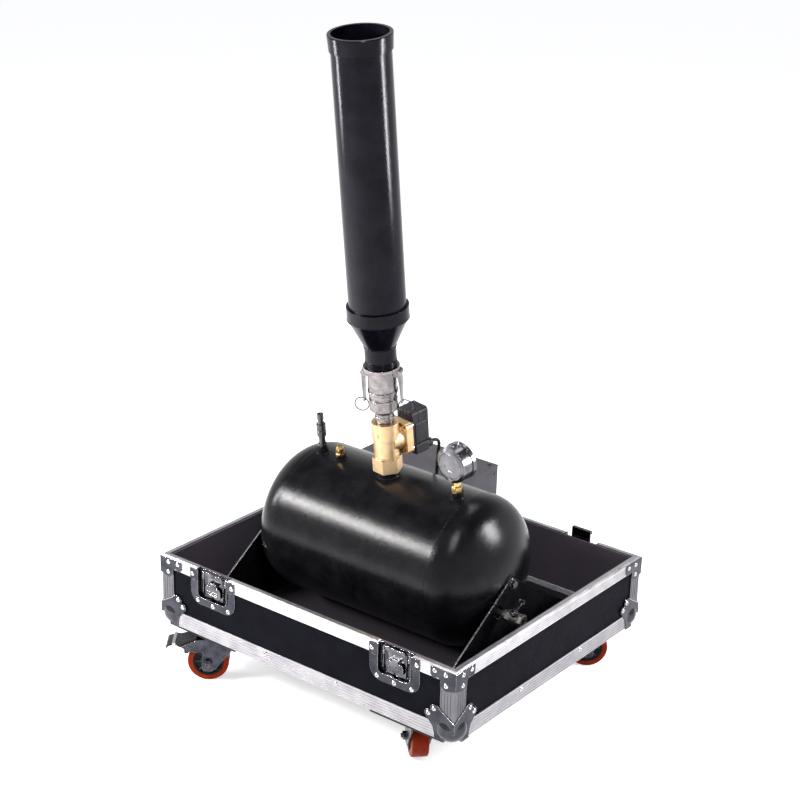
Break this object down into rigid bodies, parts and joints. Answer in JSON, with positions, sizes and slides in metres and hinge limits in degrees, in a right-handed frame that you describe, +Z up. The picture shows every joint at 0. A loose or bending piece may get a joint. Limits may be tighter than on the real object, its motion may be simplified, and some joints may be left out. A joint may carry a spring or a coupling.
{
  "type": "confetti launcher machine",
  "caption": "Air tank with a solenoid valve, cam coupling and wide barrel that fires confetti, standing in the open base of a wheeled flight case.",
  "frame": {"origin": "on the floor under the centre of the case, at the wheels' contact plane", "axes": "+X along the front of the case to the right, +Y to the back, +Z up"},
  "size_m": [0.668, 0.6156, 1.1967],
  "materials": {
    "laminate": "satin black laminate",
    "lining": "dark textured lining",
    "profile": "anodised, grooved",
    "zinc": "zinc plated sheet",
    "bright": "bright plated",
    "fork": "zinc plated",
    "black_steel": "black textured powder coat",
    "black_plastic": "matte",
    "wheel": "orange tread on a black core",
    "brass": "cast, sandblasted",
    "stainless": "polished stainless",
    "glass": "clear",
    "dial": "white dial",
    "pointer": "black",
    "rubber": "black",
    "coupling": "cast and turned"
  },
  "bodies": {
    "case": {"case_panels": "laminate", "lining": "lining", "edge_profiles": "profile", "rim_profiles": "profile", "ball_corners": "zinc", "corner_braces": "zinc", "case_rivets": "bright", "latch_dishes": "zinc", "caster_plates": "black_steel", "mounting_bolts": "bright", "end_plates": "black_steel", "tank_shell": "black_steel", "fill_nipple": "black_steel", "relief_plug": "brass", "gauge_adapter": "brass", "gauge_case": "stainless", "gauge_glass": "glass", "gauge_dial": "dial", "drain_valve": "brass", "valve_body": "brass", "valve_bonnet": "brass", "bonnet_screws": "bright", "valve_coil": "black_plastic", "valve_connector": "black_plastic", "valve_cable": "rubber", "control_box": "black_steel", "box_sockets": "black_plastic", "cam_coupler": "coupling", "cam_gasket": "rubber", "barrel_tube": "black_steel", "barrel_base": "black_steel"},
    "latch_hook_front_left": {"latch_hook_front_left": "zinc"},
    "latch_knob_front_left": {"latch_knob_front_left": "zinc"},
    "latch_wing_front_left": {"latch_wing_front_left": "bright"},
    "latch_hook_front_right": {"latch_hook_front_right": "zinc"},
    "latch_knob_front_right": {"latch_knob_front_right": "zinc"},
    "latch_wing_front_right": {"latch_wing_front_right": "bright"},
    "latch_hook_back_left": {"latch_hook_back_left": "zinc"},
    "latch_knob_back_left": {"latch_knob_back_left": "zinc"},
    "latch_wing_back_left": {"latch_wing_back_left": "bright"},
    "latch_hook_back_right": {"latch_hook_back_right": "zinc"},
    "latch_knob_back_right": {"latch_knob_back_right": "zinc"},
    "latch_wing_back_right": {"latch_wing_back_right": "bright"},
    "caster_fork_front_left": {"caster_fork_front_left": "fork"},
    "caster_wheel_front_left": {"caster_wheel_front_left": "wheel"},
    "brake_pedal_front_left": {"brake_pedal_front_left": "black_plastic"},
    "caster_fork_front_right": {"caster_fork_front_right": "fork"},
    "caster_wheel_front_right": {"caster_wheel_front_right": "wheel"},
    "caster_fork_back_left": {"caster_fork_back_left": "fork"},
    "caster_wheel_back_left": {"caster_wheel_back_left": "wheel"},
    "brake_pedal_back_left": {"brake_pedal_back_left": "black_plastic"},
    "caster_fork_back_right": {"caster_fork_back_right": "fork"},
    "caster_wheel_back_right": {"caster_wheel_back_right": "wheel"},
    "cam_arm_right": {"cam_arm_right": "coupling"},
    "cam_ring_right": {"cam_ring_right": "bright"},
    "cam_arm_left": {"cam_arm_left": "coupling"},
    "cam_ring_left": {"cam_ring_left": "bright"},
    "gauge_pointer": {"gauge_pointer": "pointer"},
    "drain_lever": {"drain_lever": "bright"},
    "valve_plunger": {"valve_plunger": "stainless"}
  },
  "joints": [
    {"name": "latch_hook_front_left_slide", "type": "slide", "parent": "case", "child": "latch_hook_front_left", "axis": [0, 0, 1], "range_m": [0, 0.02]},
    {"name": "latch_knob_front_left_turn", "type": "hinge", "parent": "case", "child": "latch_knob_front_left", "pos_m": [-0.2045, -0.275, 0.1995], "axis": [0, 1, 0], "range_deg": [0, 180]},
    {"name": "latch_wing_front_left_fold", "type": "hinge", "parent": "latch_knob_front_left", "child": "latch_wing_front_left", "pos_m": [-0.2045, -0.2781, 0.2121], "axis": [-1, 0, 0], "range_deg": [0, 90]},
    {"name": "latch_hook_front_right_slide", "type": "slide", "parent": "case", "child": "latch_hook_front_right", "axis": [0, 0, 1], "range_m": [0, 0.02]},
    {"name": "latch_knob_front_right_turn", "type": "hinge", "parent": "case", "child": "latch_knob_front_right", "pos_m": [0.2045, -0.275, 0.1995], "axis": [0, 1, 0], "range_deg": [0, 180]},
    {"name": "latch_wing_front_right_fold", "type": "hinge", "parent": "latch_knob_front_right", "child": "latch_wing_front_right", "pos_m": [0.2045, -0.2781, 0.2121], "axis": [-1, 0, 0], "range_deg": [0, 90]},
    {"name": "latch_hook_back_left_slide", "type": "slide", "parent": "case", "child": "latch_hook_back_left", "axis": [0, 0, 1], "range_m": [-0.02, 0]},
    {"name": "latch_knob_back_left_turn", "type": "hinge", "parent": "case", "child": "latch_knob_back_left", "pos_m": [-0.2045, 0.275, 0.1995], "axis": [0, -1, 0], "range_deg": [-180, 0]},
    {"name": "latch_wing_back_left_fold", "type": "hinge", "parent": "latch_knob_back_left", "child": "latch_wing_back_left", "pos_m": [-0.2045, 0.2781, 0.1869], "axis": [-1, 0, 0], "range_deg": [0, 90]},
    {"name": "latch_hook_back_right_slide", "type": "slide", "parent": "case", "child": "latch_hook_back_right", "axis": [0, 0, 1], "range_m": [-0.02, 0]},
    {"name": "latch_knob_back_right_turn", "type": "hinge", "parent": "case", "child": "latch_knob_back_right", "pos_m": [0.2045, 0.275, 0.1995], "axis": [0, -1, 0], "range_deg": [-180, 0]},
    {"name": "latch_wing_back_right_fold", "type": "hinge", "parent": "latch_knob_back_right", "child": "latch_wing_back_right", "pos_m": [0.2045, 0.2781, 0.1869], "axis": [-1, 0, 0], "range_deg": [0, 90]},
    {"name": "caster_front_left_swivel", "type": "hinge", "parent": "case", "child": "caster_fork_front_left", "pos_m": [-0.224, -0.228, 0.086], "axis": [0, 0, 1], "continuous": true},
    {"name": "caster_front_left_roll", "type": "hinge", "parent": "caster_fork_front_left", "child": "caster_wheel_front_left", "pos_m": [-0.24771, -0.24639, 0.0375], "axis": [0.6129, -0.7902, 0], "continuous": true},
    {"name": "brake_pedal_front_left_press", "type": "hinge", "parent": "caster_fork_front_left", "child": "brake_pedal_front_left", "pos_m": [-0.27497, -0.26753, 0.0668], "axis": [0.6129, -0.7902, 0], "range_deg": [0, 12]},
    {"name": "caster_front_right_swivel", "type": "hinge", "parent": "case", "child": "caster_fork_front_right", "pos_m": [0.224, -0.228, 0.086], "axis": [0, 0, 1], "continuous": true},
    {"name": "caster_front_right_roll", "type": "hinge", "parent": "caster_fork_front_right", "child": "caster_wheel_front_right", "pos_m": [0.20224, -0.20735, 0.0375], "axis": [-0.6884, -0.7254, 0], "continuous": true},
    {"name": "caster_back_left_swivel", "type": "hinge", "parent": "case", "child": "caster_fork_back_left", "pos_m": [-0.224, 0.228, 0.086], "axis": [0, 0, 1], "continuous": true},
    {"name": "caster_back_left_roll", "type": "hinge", "parent": "caster_fork_back_left", "child": "caster_wheel_back_left", "pos_m": [-0.24771, 0.24639, 0.0375], "axis": [-0.6129, -0.7902, 0], "continuous": true},
    {"name": "brake_pedal_back_left_press", "type": "hinge", "parent": "caster_fork_back_left", "child": "brake_pedal_back_left", "pos_m": [-0.27497, 0.26753, 0.0668], "axis": [-0.6129, -0.7902, 0], "range_deg": [0, 12]},
    {"name": "caster_back_right_swivel", "type": "hinge", "parent": "case", "child": "caster_fork_back_right", "pos_m": [0.224, 0.228, 0.086], "axis": [0, 0, 1], "continuous": true},
    {"name": "caster_back_right_roll", "type": "hinge", "parent": "caster_fork_back_right", "child": "caster_wheel_back_right", "pos_m": [0.24764, 0.24647, 0.0375], "axis": [-0.6157, 0.788, 0], "continuous": true},
    {"name": "cam_arm_right_lift", "type": "hinge", "parent": "case", "child": "cam_arm_right", "pos_m": [0.02319, -0.05349, 0.60603], "axis": [0.4226, -0.8996, -0.1105], "range_deg": [0, 90]},
    {"name": "cam_ring_right_swing", "type": "hinge", "parent": "cam_arm_right", "child": "cam_ring_right", "pos_m": [0.02591, -0.04565, 0.55259], "axis": [0.9063, 0.4195, 0.0515], "range_deg": [-60, 60]},
    {"name": "cam_arm_left_lift", "type": "hinge", "parent": "case", "child": "cam_arm_left", "pos_m": [-0.03119, -0.07865, 0.60294], "axis": [-0.4226, 0.8996, 0.1105], "range_deg": [0, 90]},
    {"name": "cam_ring_left_swing", "type": "hinge", "parent": "cam_arm_left", "child": "cam_ring_left", "pos_m": [-0.03391, -0.07333, 0.54919], "axis": [-0.9063, -0.4195, -0.0515], "range_deg": [-60, 60]},
    {"name": "gauge_pointer_turn", "type": "hinge", "parent": "case", "child": "gauge_pointer", "pos_m": [0.147, -0.04974, 0.47149], "axis": [-0.0872, -0.9888, -0.1214], "range_deg": [0, 270]},
    {"name": "drain_lever_turn", "type": "hinge", "parent": "case", "child": "drain_lever", "pos_m": [0.2925, -0.062, 0.231], "axis": [0, -0.4695, 0.8829], "range_deg": [0, 90]},
    {"name": "valve_plunger_slide", "type": "slide", "parent": "case", "child": "valve_plunger", "axis": [0.1736, 0.9775, 0.12], "range_m": [0, 0.004], "stiffness_N_per_m": 400, "springref_m": -0.01}
  ],
  "couplings": [
    {"joint": "latch_knob_front_left_turn", "follows": "latch_hook_front_left_slide", "rad_per_m": 157.08},
    {"joint": "latch_knob_front_right_turn", "follows": "latch_hook_front_right_slide", "rad_per_m": 157.08},
    {"joint": "latch_knob_back_left_turn", "follows": "latch_hook_back_left_slide", "rad_per_m": 157.08},
    {"joint": "latch_knob_back_right_turn", "follows": "latch_hook_back_right_slide", "rad_per_m": 157.08}
  ]
}
